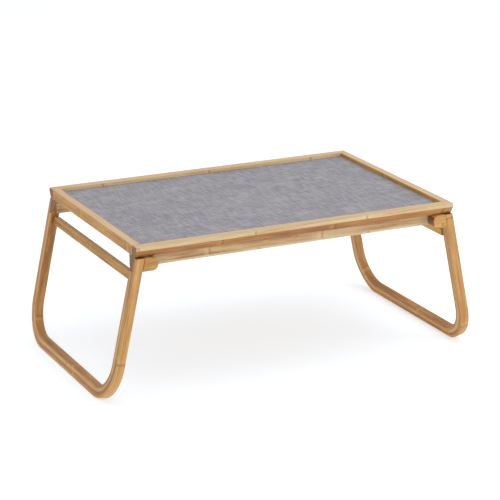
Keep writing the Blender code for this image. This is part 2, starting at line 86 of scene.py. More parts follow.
RAIL_FACE = 6.5 * MM  # upright part of a long rail's outer face
RAIL_ROUNDING = 1.6 * MM
SLAT_ROUNDING = 0.8 * MM  # the short rails and the aprons
ARM_ROUNDING = 1 * MM  # the crossbars and the pivot blocks
LEG_WIDTH = 20 * MM
LEG_THICKNESS = 14.5 * MM
LEG_LEAN = math.radians(12)
BEND_RADIUS = 73 * MM  # outside of the bottom bends
leg_low, leg_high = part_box("right_leg_frame")
LEG_TOP, FRAME_HALF_DEPTH = leg_high.z, leg_high.y
LEG_INNER = FRAME_HALF_DEPTH - LEG_WIDTH
LAP_PLANE = FRAME_HALF_DEPTH - LEG_WIDTH / 2
SLANT = LEG_THICKNESS / math.cos(LEG_LEAN)  # the leg's thickness along the floor
LEG_CENTRE = leg_low.x + SLANT / 2 - GAP * math.tan(LEG_LEAN)
LEG_LENGTH = (RIM_UNDERSIDE + LEG_THICKNESS / 2 * math.sin(LEG_LEAN)) / math.cos(LEG_LEAN)
block_low, block_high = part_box("pivot_block_back_right")
PIVOT = Vector(frame["joints"][1]["pos_m"])
print("leg top at", round(LEG_TOP / MM, 1), "pivot at", [round(c / MM, 1) for c in PIVOT])


def leg_space(side):
    """The leaning space of a leg frame: origin at the rim, local Z up along the legs."""
    return Matrix.Translation((side * LEG_CENTRE, 0, RIM_UNDERSIDE)) @ Matrix.Rotation(
        -side * LEG_LEAN, 4, "Y")


# %% [markdown]
# ## Colour and node helpers
# A hex colour is written the way a screen shows it, while a renderer adds up light, so one
# function turns the first into the second. Materials here are small node trees. One helper
# adds any node, with its settings and whatever feeds its sockets, which keeps each tree
# readable from top to bottom, like a recipe.

# %% Colours, and the helper that adds a node
def linear(code):
    """A screen hex colour as the linear numbers that light adds up in."""
    parts = [int(code[i:i + 2], 16) / 255 for i in (0, 2, 4)]
    return (*(c / 12.92 if c <= 0.04045 else ((c + 0.055) / 1.055) ** 2.4 for c in parts), 1)


def add(tree, kind, sockets=None, **settings):
    """Adds a node; a socket takes a plain value, or the first live output of another node."""
    made = tree.nodes.new("ShaderNode" + kind)
    for name, value in settings.items():
        setattr(made, name, value)
    for key, value in (sockets or {}).items():
        live = [s for s in made.inputs if s.enabled and s.name == key]
        socket = made.inputs[key] if isinstance(key, int) else live[0]
        if isinstance(value, bpy.types.Node):
            value = next(s for s in value.outputs if s.enabled)
        if isinstance(value, bpy.types.NodeSocket):
            tree.links.new(value, socket)
        else:
            socket.default_value = value
    return made


def new_material(name):
    """An empty material with its shader, ready for a recipe."""
    material = bpy.data.materials.new(name)
    material.use_nodes = True
    return material, material.node_tree, material.node_tree.nodes["Principled BSDF"]


def blend_colour(tree, share, first, second):
    """Between two colours by a share from 0 to 1."""
    return add(tree, "Mix", {"Factor": share, "A": first, "B": second}, data_type="RGBA")


print("mid grey 808080 is", round(linear("808080")[0], 3), "in light")

# %% [markdown]
# ## Room: camera, floor and light
# The table stands on a plain pale studio sweep. A long lens keeps the rails nearly parallel,
# as in a catalogue, so the camera stands far off. Two soft boxes light the tray: a wide one
# overhead lights the faces that look up, and a smaller one from the right front models the
# legs. The sweep glows a little by itself, the way an over-lit backdrop does, which keeps its
# shadows pale. It lets rays through from below, so the underside can be seen.

# %% Camera
CAMERA_PLACE = Vector((-1.41494, -2.92024, 1.19605))
CAMERA_AIM = Vector((0.00262, 0, 0.16574))  # just under the middle of the tray

scene = bpy.context.scene
camera = bpy.data.objects.new("camera", bpy.data.cameras.new("camera"))
camera.data.sensor_width = 36  # mm
camera.data.lens = 142  # mm, a long lens
camera.data.clip_end = 60
camera.location = CAMERA_PLACE
aim = CAMERA_AIM - camera.location
camera.rotation_euler = aim.to_track_quat("-Z", "Y").to_euler()
scene.collection.objects.link(camera)
scene.camera = camera
scene.view_settings.view_transform = "Standard"
print("camera stands", round(aim.length, 2), "m away")

# %% Floor
floor_mesh = bpy.data.meshes.new("studio_floor")
reach = 14  # m to each side, past the edge of every view
floor_mesh.from_pydata([(-reach, -reach, 0), (reach, -reach, 0), (reach, reach, 0),
                        (-reach, reach, 0)], [], [(0, 1, 2, 3)])
floor = bpy.data.objects.new("studio_floor", floor_mesh)
scene.collection.objects.link(floor)
paper, tree, shader = new_material("pale_backdrop_paper")
shader.inputs["Base Color"].default_value = linear("DAE4EF")
shader.inputs["Roughness"].default_value = 0.9
shader.inputs["Emission Color"].default_value = linear("FFFFFF")
shader.inputs["Emission Strength"].default_value = 0.47
below = add(tree, "NewGeometry").outputs["Backfacing"]
see_through = add(tree, "MixShader", {0: below, 1: shader.outputs[0],
                                      2: add(tree, "BsdfTransparent").outputs[0]})
tree.links.new(see_through.outputs[0], tree.nodes["Material Output"].inputs["Surface"])
floor_mesh.materials.append(paper)

# %% Lights
world = bpy.data.worlds.new("studio")
world.use_nodes = True
world.node_tree.nodes["Background"].inputs["Color"].default_value = linear("FAFAFB")
world.node_tree.nodes["Background"].inputs["Strength"].default_value = 0.72
scene.world = world


def soft_box(name, size, power, place, tint="FFFFFF"):
    """A square lamp that looks at the tray."""
    lamp = bpy.data.lights.new(name, "AREA")
    lamp.shape = "SQUARE"
    lamp.size = size
    lamp.energy = power
    lamp.color = linear(tint)[:3]
    box = bpy.data.objects.new(name, lamp)
    box.location = place
    box.rotation_euler = (Vector((0, 0, TOP)) - box.location).to_track_quat("-Z", "Y").to_euler()
    scene.collection.objects.link(box)
    return power


watts = [soft_box("overhead_box", 2.2, 16, (0.3, -0.3, 2.5)),
         soft_box("key_box", 1.2, 15, (1.7, -2.0, 1.2), "FFFCF7")]
print("lamps:", sum(watts), "W")

# %% [markdown]
# ## Bamboo
# A bamboo cane is hollow and thin, so furniture bamboo is never one solid stick. The cane is
# split into strips about 5.5 mm thick and 20 mm wide, planed, and glued up like a deck of
# cards. What the eye gets from that: strips that differ a little in tone, hair-fine fibres
# that all run one way, faint glue lines, and every 200 mm or so the node where the cane had
# its ring, a short dark cross mark with a pale fuzzy band. The satin lacquer adds a soft sheen.
#
# The tray has three batches of it. The long rails and the aprons are natural and pale, and the
# undercut on the rails gets a browner copy of that bamboo, which paints in the shade under the
# lip. The short rails and the crossbars are caramel, which is bamboo whose sugar was browned
# by heat before it was glued. The bent legs and the pivot blocks are steamed, a tone between
# the two. On the first two batches, the faces that look up are painted paler: a painted sheen
# of the light from above.
#
# A texture in plain object space would run straight through the bends of a leg. So each piece
# carries a small map of its own, an attribute called grain: how far along the fibres a point
# is, how far across them, and how deep, in metres. Another called plank tells pieces apart.

# %% The bamboo recipe
STRIP = 5.5  # mm, thickness of a strip
STRIP_WIDTH = 20.0  # mm
NODE_SPACING = 205.0  # mm between the rings of the cane
CLOUD = (120, 9)  # mm long and wide: broad tone, as sun and soil left it in the cane
FIBRE = (42, 1.3)  # mm; real fibres are 0.4 mm wide, drawn wider so that they show
BUNDLE = (16, 0.8)  # mm; short dark bundles, 0.3 mm wide in the real cane
BUNDLE_SPACING = 1.2  # mm in the sawn end, where real ones sit 0.9 mm apart


def in_millimetres(tree):
    """The grain map in millimetres, and its three parts."""
    grain = add(tree, "Attribute", attribute_name="grain").outputs["Vector"]
    place = add(tree, "VectorMath", {0: grain, 1: (1000, 1000, 1000)}, operation="MULTIPLY")
    parts = add(tree, "SeparateXYZ", {0: place})
    return place, parts.outputs


def maths(tree, operation, *values, clamp=False):
    """A sum, with its numbers or sockets in order."""
    return add(tree, "Math", dict(enumerate(values)), operation=operation, use_clamp=clamp)


def fade(tree, value, start, end):
    """0 before start, 1 after end, smooth between."""
    return add(tree, "MapRange", {"Value": value, "From Min": start, "From Max": end},
               interpolation_type="SMOOTHSTEP")


def strip_lottery(tree, across, deep):
    """A random number and a random vector for each glued strip of each piece."""
    plank = add(tree, "Attribute", attribute_name="plank").outputs["Fac"]
    column = maths(tree, "ROUND", maths(tree, "DIVIDE", across, STRIP))
    row = maths(tree, "ROUND", maths(tree, "DIVIDE", deep, STRIP_WIDTH))
    ticket = add(tree, "CombineXYZ", {"X": column, "Y": row, "Z": plank})
    return add(tree, "TexWhiteNoise", {"Vector": ticket}, noise_dimensions="3D").outputs


def streaks(tree, place, shift, length, width, detail=3.0):
    """Noise drawn out along the fibres: length and width are one streak's size in mm."""
    squeeze = add(tree, "VectorMath", {0: place, 1: (1 / length, 1 / width, 1 / width)},
                  operation="MULTIPLY")
    moved = add(tree, "VectorMath", {0: squeeze, 1: shift}, operation="ADD")
    return add(tree, "TexNoise", {"Vector": moved, "Scale": 1.0, "Detail": detail,
                                  "Roughness": 0.55})


def bamboo(name, pale, body, brown, sheen_tone=None):
    """Laminated bamboo under a satin lacquer, from a pale, a body and a brown tone.

    Given a fifth tone, the faces that look up are painted paler towards it: a painted sheen of
    the light from above.
    """
    material, tree, shader = new_material(name)
    place, (run, across, deep) = in_millimetres(tree)
    chance, shift = strip_lottery(tree, across, deep)
    far = add(tree, "VectorMath", {0: shift, 1: (40, 40, 40)}, operation="MULTIPLY")
    cloud = streaks(tree, place, far, *CLOUD)
    fibre = streaks(tree, place, far, *FIBRE, detail=4.0)
    dash = fade(tree, streaks(tree, place, far, *BUNDLE, detail=1.0), 0.6, 0.74)
    # the tone of a point: the cloud, its fibre and the strip it lies in, each with its weight
    tone = maths(tree, "MULTIPLY_ADD", cloud, 1.0, maths(tree, "MULTIPLY", fibre, 0.8))
    tone = maths(tree, "MULTIPLY_ADD", chance, 0.34, tone)
    ramp = add(tree, "ValToRGB", {0: maths(tree, "SUBTRACT", tone, 0.57)})
    colours = ramp.color_ramp.elements
    colours[0].position, colours[0].color = 0.22, linear(brown)
    colours[1].position, colours[1].color = 0.78, linear(pale)
    middle = colours.new(0.48)
    middle.color = linear(body)
    # the cane's rings: each strip has its own start, and the mark wobbles by a few mm
    wobble = streaks(tree, place, far, 30, 2.2, detail=1.0)
    walked = maths(tree, "MULTIPLY_ADD", wobble, 7.0, run)
    turn = maths(tree, "MULTIPLY_ADD", chance, 9.0, maths(tree, "DIVIDE", walked, NODE_SPACING))
    ring = maths(tree, "MULTIPLY", maths(tree, "SUBTRACT", maths(tree, "FRACT", turn), 0.5),
                 NODE_SPACING)
    from_ring = maths(tree, "ABSOLUTE", ring)
    mark = maths(tree, "SUBTRACT", 1.0, fade(tree, from_ring, 0.6, 3.2))
    # the pale fuzzy band lies 5 mm to one side of the mark
    from_band = maths(tree, "ABSOLUTE", maths(tree, "ADD", ring, 5.0))
    band = maths(tree, "SUBTRACT", 1.0, fade(tree, from_band, 1.0, 7.0))
    # 0 in the middle of a strip, 0.5 at its edge; the glue is a 0.2 mm line, drawn 0.7 mm wide
    in_strip = maths(tree, "FRACT", maths(
        tree, "ADD", maths(tree, "DIVIDE", across, STRIP), 0.5))
    glue = fade(tree, maths(tree, "ABSOLUTE", maths(tree, "SUBTRACT", in_strip, 0.5)), 0.44, 0.5)
    colour = ramp
    for share, amount, over in ((band, 0.4, pale), (mark, 0.62, brown), (dash, 0.3, brown),
                                (glue, 0.22, brown)):
        colour = blend_colour(tree, maths(tree, "MULTIPLY", share, amount), colour, linear(over))
    # painted sheen: faces whose normal looks up are blended towards the paler tone
    if sheen_tone:
        normal = add(tree, "NewGeometry").outputs["Normal"]
        upward = add(tree, "SeparateXYZ", {0: normal}).outputs["Z"]
        sheen_strength = maths(tree, "MULTIPLY_ADD", cloud, 0.5, 0.45)
        share = maths(tree, "MULTIPLY", fade(tree, upward, 0.55, 0.97), sheen_strength, clamp=True)
        colour = blend_colour(tree, share, colour.outputs[2], linear(sheen_tone))
    tree.links.new(colour.outputs[2], shader.inputs["Base Color"])
    rough = maths(tree, "MULTIPLY_ADD", fibre, 0.16, 0.42)
    tree.links.new(rough.outputs[0], shader.inputs["Roughness"])
    relief = maths(tree, "MULTIPLY_ADD", fibre, 0.5, maths(tree, "MULTIPLY", mark, 0.6))
    relief = maths(tree, "MULTIPLY_ADD", glue, -0.4, relief)
    bump = add(tree, "Bump", {"Height": relief, "Strength": 0.35, "Distance": 0.12 * MM})
    tree.links.new(bump.outputs[0], shader.inputs["Normal"])
    shader.inputs["IOR"].default_value = 1.5
    shader.inputs["Specular IOR Level"].default_value = 0.3
    shader.inputs["Coat Weight"].default_value = 0.06
    shader.inputs["Coat Roughness"].default_value = 0.35
    shader.inputs["Coat IOR"].default_value = 1.48
    return material


def bamboo_ends(name, ground, dots):
    """The sawn end: a field of round fibre bundles, drawn 0.8 mm across, on paler pith."""
    material, tree, shader = new_material(name)
    _, (_, across, deep) = in_millimetres(tree)
    chance, _ = strip_lottery(tree, across, deep)
    face = add(tree, "CombineXYZ", {"X": across, "Y": deep})
    cells = add(tree, "TexVoronoi", {"Vector": face, "Scale": 1 / BUNDLE_SPACING,
                                     "Randomness": 0.8}, voronoi_dimensions="2D")
    spot = maths(tree, "SUBTRACT", 1.0, fade(tree, cells.outputs["Distance"], 0.2, 0.46))
    depth = maths(tree, "MULTIPLY_ADD", chance, 0.4, 0.45)
    colour = blend_colour(tree, maths(tree, "MULTIPLY", spot, depth), linear(ground),
                          linear(dots))
    tree.links.new(colour.outputs[2], shader.inputs["Base Color"])
    rough = maths(tree, "MULTIPLY_ADD", spot, 0.15, 0.55)
    tree.links.new(rough.outputs[0], shader.inputs["Roughness"])
    bump = add(tree, "Bump", {"Height": spot, "Strength": 0.4, "Distance": 0.1 * MM})
    tree.links.new(bump.outputs[0], shader.inputs["Normal"])
    return material


# in each list: the sides of a piece, its sawn ends and, for the long rails, a browner copy
# for the undercut, which paints the shade under the lip
# the fifth tone of a bamboo is a painted sheen on the faces that look up
BAMBOO = [bamboo("natural_bamboo_strips", "E0C99E", "CFAD7F", "9F7040", "DABD97"),
          bamboo_ends("natural_bamboo_end_grain", "8E6238", "5A381D"),
          # a darker copy of the natural bamboo, painted shade for the faces under the rails' lip
          bamboo("natural_bamboo_undercut_painted_shade", "C49152", "A76F38", "774721")]
CARAMEL_BAMBOO = [bamboo("caramel_bamboo_strips", "D6A455", "BE8639", "8A5824", "DFC5A2"),
                  bamboo_ends("caramel_bamboo_end_grain", "A87C48", "7A5228")]
BENT_BAMBOO = [bamboo("steamed_bent_bamboo", "D6A968", "BD894A", "96622F"),
               bamboo_ends("steamed_bamboo_end_grain", "8C6034", "583A1D")]
print("bamboo materials:", [m.name for m in BAMBOO + CARAMEL_BAMBOO + BENT_BAMBOO])

# %% [markdown]
# ## Linen-look laminate
# The panel is fibreboard faced with a thin laminate that is printed and pressed to look like
# grey linen. Real linen has threads about 0.6 mm apart, some thick, some thin, with slubs
# that run for a few centimetres. At this size that would blur to one grey, so the threads are
# drawn 1.5 mm apart. Two sets of bands cross, and where one goes over the other it shows its
# own tone. Pressing leaves a shallow relief, and the resin gives a soft, wide sheen.

# %% The laminate recipe
THREAD = 1.5  # mm, drawn 2.5 times as coarse as real linen
SWAY = (26.0, 5.0)  # mm along and across a thread over which it wanders
SLUB = 28.0  # mm over which a thread's tone changes
NEXT_THREAD = 7.31  # a step through the noise, so that two neighbours differ in tone


def thread_set(tree, run, across, seed):
    """One set of threads: a wavy ridge for each, and a tone that changes along it."""
    sway = add(tree, "TexNoise", {"Vector": add(tree, "CombineXYZ", {
        "X": maths(tree, "DIVIDE", run, SWAY[0]), "Y": maths(tree, "DIVIDE", across, SWAY[1]),
        "Z": seed}), "Scale": 1.0, "Detail": 1.0})
    where = maths(tree, "DIVIDE", maths(tree, "MULTIPLY_ADD", sway, 1.6, across), THREAD)
    ridge = maths(tree, "PINGPONG", where, 0.5)
    count = maths(tree, "FLOOR", where)
    tone = add(tree, "TexNoise", {"Vector": add(tree, "CombineXYZ", {
        "X": maths(tree, "DIVIDE", run, SLUB),
        "Y": maths(tree, "MULTIPLY", count, NEXT_THREAD), "Z": seed}),
        "Scale": 1.0, "Detail": 2.0})
    return ridge, tone


def linen_laminate():
    """Grey linen print under pressed resin."""
    material, tree, shader = new_material("pressed_linen_laminate")
    spot = add(tree, "TexCoord").outputs["Object"]
    place = add(tree, "VectorMath", {0: spot, 1: (1000, 1000, 1000)}, operation="MULTIPLY")
    x, y, _ = add(tree, "SeparateXYZ", {0: place}).outputs
    warp, warp_tone = thread_set(tree, x, y, 3.0)
    weft, weft_tone = thread_set(tree, y, x, 11.0)
    over = fade(tree, maths(tree, "SUBTRACT", warp, weft), -0.16, 0.16)
    tone = add(tree, "Mix", {"Factor": over, "A": weft_tone, "B": warp_tone}, data_type="FLOAT")
    cloud = add(tree, "TexNoise", {"Vector": place, "Scale": 1 / 45, "Detail": 3.0})
    mixed = maths(tree, "MULTIPLY_ADD", cloud, 0.12, maths(tree, "MULTIPLY_ADD", tone, 1.35,
                                                           -0.055))
    ramp = add(tree, "ValToRGB", {0: mixed})
    colours = ramp.color_ramp.elements
    colours[0].position, colours[0].color = 0.42, linear("716F76")
    colours[1].position, colours[1].color = 0.92, linear("BAB8BD")
    middle = colours.new(0.66)
    middle.color = linear("98969C")
    height = maths(tree, "MAXIMUM", warp, weft)
    gap = maths(tree, "MULTIPLY", fade(tree, height, 0.3, 0.12), 0.5)
    colour = blend_colour(tree, gap, ramp, linear("605E65"))
    tree.links.new(colour.outputs[2], shader.inputs["Base Color"])
    rough = maths(tree, "MULTIPLY_ADD", tone, 0.16, 0.46)
    tree.links.new(rough.outputs[0], shader.inputs["Roughness"])
    bump = add(tree, "Bump", {"Height": height, "Strength": 0.3, "Distance": 0.15 * MM})
    tree.links.new(bump.outputs[0], shader.inputs["Normal"])
    shader.inputs["IOR"].default_value = 1.5
    shader.inputs["Specular IOR Level"].default_value = 0.3
    return material


LINEN = linen_laminate()
print("threads across the panel:", round((sheet_high.x - sheet_low.x) / MM / THREAD))

# %% [markdown]
# ## The plainer materials
# The board under the laminate is medium-density fibreboard: wood flour and resin, brown, matt,
# with specks of darker fibre. Dowels are beech, pinkish with short dark flecks. Bolts and
# screws are steel with a bright zinc plate: metallic, mostly smooth, faintly cloudy from the
# bath. The threaded inserts are turned brass, and the spacers between wood and wood are nylon,
# milky and slightly soft to look at. Each one gets its small variations from noise.

# %% Fibreboard, beech, steel, brass and nylon
def speckled(name, base, fleck, grain, amount, rough, bump=0.2, metallic=0.0, ior=1.5):
    """A material with flecks of a given size (x, y, z in mm) in a second tone."""
    material, tree, shader = new_material(name)
    spot = add(tree, "TexCoord").outputs["Object"]
    scaled = add(tree, "VectorMath", {0: spot, 1: [1 / (side * MM) for side in grain]},
                 operation="MULTIPLY")
    noise = add(tree, "TexNoise", {"Vector": scaled, "Scale": 1.0, "Detail": 4.0,
                                   "Roughness": 0.6})
    share = fade(tree, noise, 0.42, 0.68)
    colour = blend_colour(tree, maths(tree, "MULTIPLY", share, amount), linear(base),
                          linear(fleck))
    tree.links.new(colour.outputs[2], shader.inputs["Base Color"])
    tree.links.new(maths(tree, "MULTIPLY_ADD", share, 0.12, rough).outputs[0],
                   shader.inputs["Roughness"])
    relief = add(tree, "Bump", {"Height": noise, "Strength": bump, "Distance": 0.1 * MM})
    tree.links.new(relief.outputs[0], shader.inputs["Normal"])
    shader.inputs["Metallic"].default_value = metallic
    if not metallic:
        shader.inputs["IOR"].default_value = ior
    return material


FIBREBOARD = speckled("raw_fibreboard", "A88A66", "8A6C4A", (0.9, 0.9, 0.5),
                      amount=0.8, rough=0.72, bump=0.35)
BEECH = speckled("planed_beech", "D6B48A", "B4875C", (0.5, 3.5, 0.5), amount=0.7, rough=0.5)
STEEL = speckled("zinc_plated_steel", "C9CBCD", "A9ADB2", (1.8, 1.8, 1.8),
                 amount=0.8, rough=0.24, bump=0.1, metallic=1.0)
BRASS = speckled("turned_brass", "D1A954", "B88C3C", (1.5, 1.5, 1.5),
                 amount=0.6, rough=0.28, bump=0.1, metallic=1.0)
NYLON = speckled("natural_nylon", "ECEAE2", "DCD9CC", (2.5, 2.5, 2.5),
                 amount=0.5, rough=0.38, bump=0.1, ior=1.53)
milky = NYLON.node_tree.nodes["Principled BSDF"].inputs
milky["Subsurface Weight"].default_value = 0.1
milky["Subsurface Scale"].default_value = 0.5 * MM
print("plain materials:", FIBREBOARD.name, BEECH.name, STEEL.name, BRASS.name, NYLON.name)

# %% [markdown]
# ## Making pieces
# Most pieces are planks: an outline, sawn to a thickness, with its edges eased by a router.
# That is a flat face extruded, a Bevel modifier and a few Boolean cuts, which is how the real
# one is made too. Turned parts are a profile spun round an axis. When a piece is done, its
# modifiers are applied, its normals are weighted by face so that flat stays flat beside a
# rounded edge, and it takes the place of its imported solid in the same moving group.

# %% Building blocks
BODY_OF = {node: body for body, nodes in frame["record"]["behaviour"]["bodies"].items()
           for node in nodes}
CIRCLE = 48  # facets of a turned piece
PLANK_STEP = 1.37  # keeps the numbers that tell planks apart off whole ones


def to_object(name, shape, matrix=Matrix()):
    """A bmesh as an object, already in its place."""
    mesh = bpy.data.meshes.new(name)
    bmesh.ops.recalc_face_normals(shape, faces=shape.faces)
    shape.to_mesh(mesh)
    shape.free()
    mesh.transform(matrix)
    thing = bpy.data.objects.new(name, mesh)
    scene.collection.objects.link(thing)
    return thing


def plank(name, outline, thickness, matrix=Matrix()):
    """A flat outline in X and Y, as thick as asked, half to each side of Z = 0."""
    shape = bmesh.new()
    rings = [[shape.verts.new((x, y, z)) for x, y in outline]
             for z in (-thickness / 2, thickness / 2)]
    shape.faces.new(reversed(rings[0]))
    shape.faces.new(rings[1])
    for i in range(len(outline)):
        j = (i + 1) % len(outline)
        shape.faces.new((rings[0][i], rings[0][j], rings[1][j], rings[1][i]))
    return to_object(name, shape, matrix)


def block(name, low, high, matrix=Matrix()):
    """A squared-up blank between two corners."""
    (x0, y0, z0), (x1, y1, z1) = low, high
    centre = Matrix.Translation((0, 0, (z0 + z1) / 2))
    return plank(name, [(x0, y0), (x1, y0), (x1, y1), (x0, y1)], z1 - z0, matrix @ centre)


def turned(name, profile, matrix=Matrix(), facets=CIRCLE, flutes=0.0):
    """A profile of (radius, height) spun round Z; flutes press every other facet in."""
    shape = bmesh.new()
    rings = []
    for radius, height in profile:
        if radius == 0:
            rings.append([shape.verts.new((0, 0, height))] * facets)
            continue
        ring = []
        for i in range(facets):
            turn = 2 * math.pi * i / facets
            out = radius * (1 - flutes * (i % 2))
            ring.append(shape.verts.new((out * math.cos(turn), out * math.sin(turn), height)))
        rings.append(ring)
    if profile[0][0] > 0:
        rings.append(rings[0])
    for below, above in zip(rings, rings[1:]):
        for i in range(facets):
            j = (i + 1) % facets
            corners = list(dict.fromkeys((below[i], below[j], above[j], above[i])))
            if len(corners) > 2:
                shape.faces.new(corners)
    return to_object(name, shape, matrix)


def along(axis, place):
    """Turns local Z to the axis, and moves the origin to the place."""
    turn = Vector((0, 0, 1)).rotation_difference(Vector(axis)).to_matrix().to_4x4()
    return Matrix.Translation(place) @ turn


def apply(thing):
    """Bakes the modifiers into the mesh."""
    graph = bpy.context.evaluated_depsgraph_get()
    mesh = bpy.data.meshes.new_from_object(thing.evaluated_get(graph))
    old, thing.data = thing.data, mesh
    bpy.data.meshes.remove(old)
    thing.modifiers.clear()


def ease_edges(thing, width, segments=4):
    """The router's pass along every edge."""
    ease = thing.modifiers.new("eased", "BEVEL")
    ease.width = width
    ease.segments = segments
    ease.limit_method = "ANGLE"
    ease.angle_limit = math.radians(30)
    ease.miter_outer = "MITER_ARC"
    apply(thing)


def cut(thing, *tools):
    """Takes each tool's shape out of the thing, and throws the tools away."""
    for tool in tools:
        trim = thing.modifiers.new("cut", "BOOLEAN")
        trim.operation = "DIFFERENCE"
        trim.solver = "EXACT"
        trim.object = tool
    apply(thing)
    for tool in tools:
        bpy.data.objects.remove(tool)


def finish_piece(thing, node, materials, flat_angle=30):
    """Shades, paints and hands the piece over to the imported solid's moving group."""
    mesh = thing.data
    mesh.shade_smooth()
    mesh.set_sharp_from_angle(angle=math.radians(flat_angle))
    weigh = thing.modifiers.new("weighted", "WEIGHTED_NORMAL")
    weigh.keep_sharp = True
    apply(thing)
    thing.data.materials.clear()
    for material in materials:
        thing.data.materials.append(material)
    thing.data.name = thing.name
    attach(thing, BODY_OF[node])
    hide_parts(node)
    return thing


planks_made = 0


def lay_grain(thing, flow):
    """Writes the grain map; flow(point) gives (along, across, deep) and the fibres' direction."""
    global planks_made
    planks_made += 1
    mesh = thing.data
    flows = [flow(vertex.co)[0] for vertex in mesh.vertices]
    mesh.attributes.new("grain", "FLOAT_VECTOR", "POINT")
    mesh.attributes.new("plank", "FLOAT", "POINT")
    mesh.attributes["grain"].data.foreach_set("vector", [c for point in flows for c in point])
    mesh.attributes["plank"].data.foreach_set("value", [planks_made * PLANK_STEP] * len(flows))
    for face in mesh.polygons:
        fibres = flow(face.center)[1]
        face.material_index = int(abs(face.normal.dot(fibres)) > 0.8)


def straight(origin, axis, across):
    """A flow with straight fibres from an origin, along one axis."""
    origin, axis, across = Vector(origin), Vector(axis).normalized(), Vector(across).normalized()
    deep = axis.cross(across)

    def flow(point):
        part = point - origin
        return (part.dot(axis), part.dot(across), part.dot(deep)), axis
    return flow


def wooden(thing, node, flow, materials):
    """Finishes a wooden piece with its grain map and end grain."""
    made = finish_piece(thing, node, materials)
    lay_grain(made, flow)
    return made


# %% [markdown]
# ## Drills
# Every joint hides something: a dowel in its hole, a screw with its countersink, a bolt in a
# threaded insert. The same profile makes the hole and, a little smaller, the piece in it, so
# the two always fit.

# %% Profiles of holes and rods
DOWEL = 3 * MM  # these are radii
BOLT = 3 * MM
INSERT = 4.6 * MM
SCREW, SCREW_HEAD = 1.75 * MM, 3.6 * MM
DOWEL_FACETS = 24
DRILL_EDGE = 0.03 * MM
LENGTHS = {kind: max(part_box(f"{kind}_back_left")[1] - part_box(f"{kind}_back_left")[0])
           for kind in ("corner_dowel", "crossbar_dowel", "apron_screw", "lap_screw",
                        "pivot_bolt", "pivot_insert")}


def rod(radius, length, edge):
    """A round rod with broken edges."""
    return [(0, 0), (radius - edge, 0), (radius, edge), (radius, length - edge),
            (radius - edge, length), (0, length)]


def screw_hole(length):
    """Countersink, shank and tip for a wood screw whose head is flush at height 0."""
    head, shank = SCREW_HEAD + GAP, SCREW + GAP
    return [(0, -GAP), (head, -GAP), (head, GAP), (shank, GAP + head - shank),
            (shank, length - 3 * SCREW), (shank / 3, length + GAP), (0, length + GAP)]


def node_axis(node, axis):
    """A matrix at the start of a packed rod that lies along an axis."""
    low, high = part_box(node)
    axis = Vector(axis)
    centre = (low + high) / 2
    half = abs((high - low).dot(axis)) / 2
    return along(axis, centre - axis * half)


def place_of(kind, corner, sy):
    """Where a rod starts: apron screws point up, and all the others point outward."""
    return node_axis(f"{kind}_{corner}", (0, 0, 1) if kind == "apron_screw" else (0, sy, 0))


def drill_dowel(kind, corner, sy):
    """The hole for a dowel, with a little room for glue at both ends."""
    return turned("drill", rod(DOWEL + GAP, LENGTHS[kind] + 2 * GAP, GAP),
                  place_of(kind, corner, sy) @ Matrix.Translation((0, 0, -GAP)), DOWEL_FACETS)


def drill_screw(kind, corner, sy):
    """The countersunk hole for a wood screw."""
    return turned("drill", screw_hole(LENGTHS[kind]), place_of(kind, corner, sy))


print("lengths in mm:", {kind: round(length / MM, 1) for kind, length in LENGTHS.items()})

# %% [markdown]
# ## The rim
# The long rails run the whole length and cover the ends of the short ones. Their outer face is
# upright for a few millimetres and then falls in under itself, which makes the tray look thin
# from the side. A groove runs round the inside for the panel. A plank with that outline is all
# it takes, because the grain runs straight through.

# %% Long rails and short rails
ACROSS_TRAY = Matrix(((0, 0, 1, 0), (1, 0, 0, 0), (0, 1, 0, 0), (0, 0, 0, 1)))
ALONG_TRAY = Matrix(((1, 0, 0, 0), (0, 0, -1, 0), (0, 1, 0, 0), (0, 0, 0, 1)))
UNDERCUT = ((8 * MM, 0), (5.5 * MM, 2.5 * MM))  # in from the face, up from the underside
LOOKS_DOWN = -0.3  # the height of a face's normal below which it counts as undercut and gets painted shade
RAIL_GRAIN_START = 0.03  # m off the middle, so that no two rails have their rings in line

for end, sy in ENDS:
    outer, inner = sy * HALF_DEPTH, sy * INNER_HALF_DEPTH
    outline = [(inner, RIM_UNDERSIDE)]
    outline += [(outer - sy * inward, RIM_UNDERSIDE + up) for inward, up in UNDERCUT]
    outline += [(outer, TOP - RAIL_FACE), (outer, TOP), (inner, TOP)]
    rail = plank(f"bamboo_{end}_rail", outline, 2 * HALF_LENGTH, ACROSS_TRAY)
    ease_edges(rail, RAIL_ROUNDING, 5)
    cut(rail, block("groove", GROOVE_LOW, GROOVE_HIGH),
        *(drill_dowel("corner_dowel", corner, sy)
          for corner, _, corner_sy in CORNERS if corner_sy == sy))
    made = wooden(rail, f"{end}_rail", straight(
        (RAIL_GRAIN_START * sy, sy * (HALF_DEPTH + INNER_HALF_DEPTH) / 2,
         (TOP + RIM_UNDERSIDE) / 2), (1, 0, 0), (0, 1, 0)), BAMBOO)
    # faces that look down under the lip take the browner copy: painted shade
    for face in made.data.polygons:
        if face.normal.z < LOOKS_DOWN and face.center.y * sy > INNER_HALF_DEPTH + 1 * MM:
            face.material_index = 2  # the browner copy: painted shade under the lip

for side, sx in SIDES:
    low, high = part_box(f"{side}_rail")
    rail = block(f"bamboo_{side}_rail", low, high)
    ease_edges(rail, SLAT_ROUNDING)
    corners = [corner for corner in CORNERS if corner[1] == sx]
    cut(rail, block("groove", GROOVE_LOW, GROOVE_HIGH),
        *(drill_dowel("corner_dowel", corner, sy) for corner, _, sy in corners),
        *(drill_screw("apron_screw", corner, sy) for corner, _, sy in corners))
    wooden(rail, f"{side}_rail", straight((low + high) / 2, (0, 1, 0), (1, 0, 0)),
           CARAMEL_BAMBOO)
print("rails made:", planks_made)

# %% [markdown]
# ## The aprons
# Under each long rail, a little way in, runs an apron. It holds the panel up, stops the tray
# from bowing and carries the pivots. Its ends step down to slip under the short rails.

# %% Aprons
APRON_GRAIN_START = 0.07  # m off the middle

